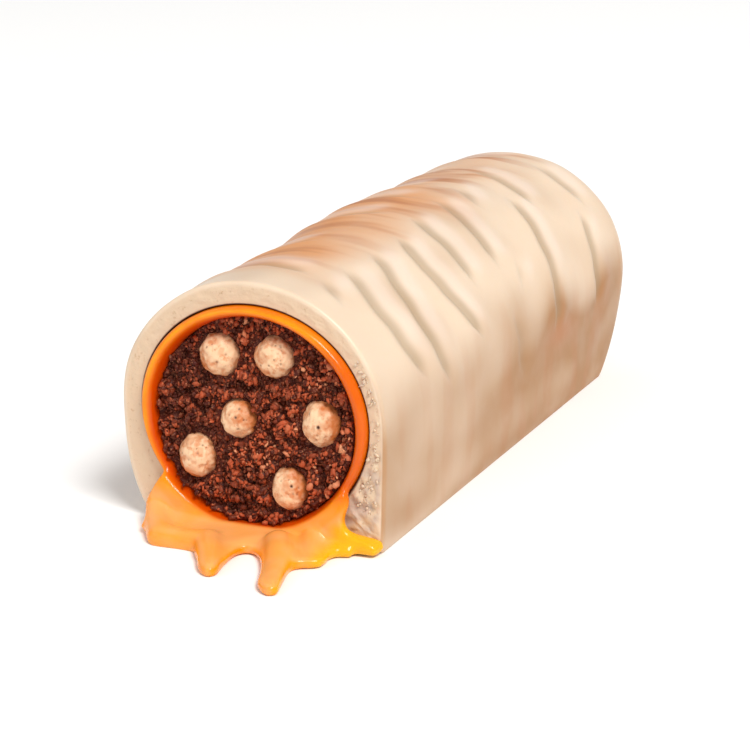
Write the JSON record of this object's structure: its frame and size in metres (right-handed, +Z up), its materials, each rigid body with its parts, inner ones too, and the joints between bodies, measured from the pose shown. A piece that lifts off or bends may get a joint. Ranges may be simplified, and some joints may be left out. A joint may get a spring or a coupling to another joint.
{
  "type": "filled chocolate candy",
  "caption": "Log-shaped filled candy cut across: rippled pale coating, caramel ring that has run out at the foot, dark cocoa crumb core with crisp balls.",
  "frame": {"origin": "middle of the flat base of the coating, halfway along its length", "axes": "+Z up, +Y along the candy from the cut end to the closed end, +X to the right as seen facing the cut"},
  "size_m": [0.0194, 0.0611, 0.0172],
  "materials": {
    "pale_coating": "satin",
    "caramel": "gloss",
    "cocoa_crumb": "matte",
    "rice_crisp": "matte"
  },
  "bodies": {
    "root": {"coating": "pale_coating", "caramel": "caramel", "filling": "cocoa_crumb", "crisp_1": "rice_crisp", "crisp_2": "rice_crisp", "crisp_3": "rice_crisp", "crisp_4": "rice_crisp", "crisp_5": "rice_crisp", "crisp_6": "rice_crisp"}
  },
  "joints": []
}
